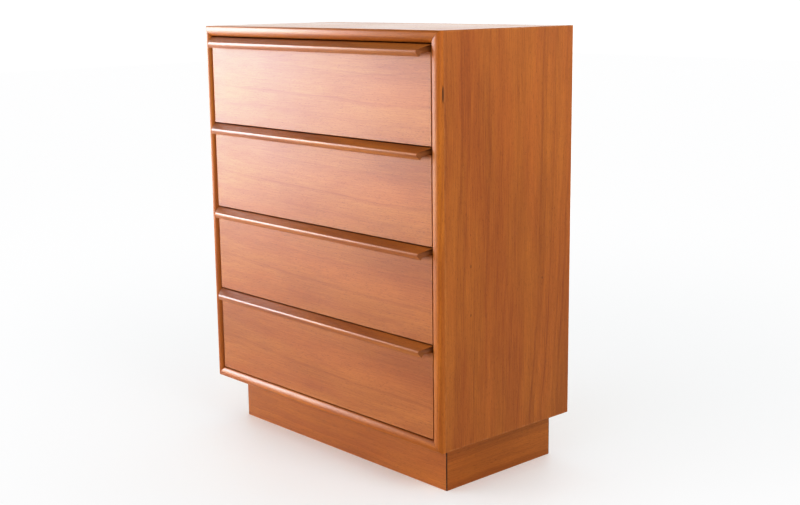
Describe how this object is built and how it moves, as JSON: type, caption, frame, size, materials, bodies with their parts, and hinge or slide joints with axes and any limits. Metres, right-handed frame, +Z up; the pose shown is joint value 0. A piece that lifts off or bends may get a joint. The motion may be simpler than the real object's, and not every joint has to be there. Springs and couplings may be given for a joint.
{
  "type": "tall chest of drawers",
  "caption": "Upright teak chest with full-width lipped drawers inset in a rounded, mitred case on a recessed plinth.",
  "frame": {"origin": "on the floor, at the middle of the box round the whole chest, pulls included", "axes": "+Z up; -Y is the front, the way the drawers open; +X is the right-hand side seen from the front"},
  "size_m": [0.758, 0.3984, 0.92],
  "materials": {
    "teak_veneer": "satin oiled teak veneer",
    "teak_solid": "satin oiled solid teak",
    "plinth_teak": "satin oiled teak, slightly darker",
    "drawer_wood": "plain planed pale hardwood",
    "plywood": "plain sanded plywood"
  },
  "bodies": {
    "case": {"top_panel": "teak_veneer", "bottom_panel": "teak_veneer", "right_panel": "teak_veneer", "left_panel": "teak_veneer", "top_lipping": "teak_solid", "bottom_lipping": "teak_solid", "right_lipping": "teak_solid", "left_lipping": "teak_solid", "plinth_front": "plinth_teak", "plinth_right": "plinth_teak", "plinth_rear": "plinth_teak", "plinth_left": "plinth_teak", "plinth_block_front_left": "drawer_wood", "plinth_block_front_right": "drawer_wood", "plinth_block_rear_left": "drawer_wood", "plinth_block_rear_right": "drawer_wood", "plinth_cross_rail": "drawer_wood", "runner_1_right": "drawer_wood", "runner_1_left": "drawer_wood", "runner_2_right": "drawer_wood", "runner_2_left": "drawer_wood", "runner_3_right": "drawer_wood", "runner_3_left": "drawer_wood", "runner_4_right": "drawer_wood", "runner_4_left": "drawer_wood", "back_panel": "plywood"},
    "drawer_1": {"drawer_1_front": "teak_veneer", "drawer_1_pull": "teak_solid", "drawer_1_side_right": "drawer_wood", "drawer_1_side_left": "drawer_wood", "drawer_1_rear": "drawer_wood", "drawer_1_floor": "plywood"},
    "drawer_2": {"drawer_2_front": "teak_veneer", "drawer_2_pull": "teak_solid", "drawer_2_side_right": "drawer_wood", "drawer_2_side_left": "drawer_wood", "drawer_2_rear": "drawer_wood", "drawer_2_floor": "plywood"},
    "drawer_3": {"drawer_3_front": "teak_veneer", "drawer_3_pull": "teak_solid", "drawer_3_side_right": "drawer_wood", "drawer_3_side_left": "drawer_wood", "drawer_3_rear": "drawer_wood", "drawer_3_floor": "plywood"},
    "drawer_4": {"drawer_4_front": "teak_veneer", "drawer_4_pull": "teak_solid", "drawer_4_side_right": "drawer_wood", "drawer_4_side_left": "drawer_wood", "drawer_4_rear": "drawer_wood", "drawer_4_floor": "plywood"}
  },
  "joints": [
    {"name": "drawer_1_slide", "type": "slide", "parent": "case", "child": "drawer_1", "axis": [0, -1, 0], "range_m": [0, 0.25]},
    {"name": "drawer_2_slide", "type": "slide", "parent": "case", "child": "drawer_2", "axis": [0, -1, 0], "range_m": [0, 0.25]},
    {"name": "drawer_3_slide", "type": "slide", "parent": "case", "child": "drawer_3", "axis": [0, -1, 0], "range_m": [0, 0.25]},
    {"name": "drawer_4_slide", "type": "slide", "parent": "case", "child": "drawer_4", "axis": [0, -1, 0], "range_m": [0, 0.25]}
  ]
}
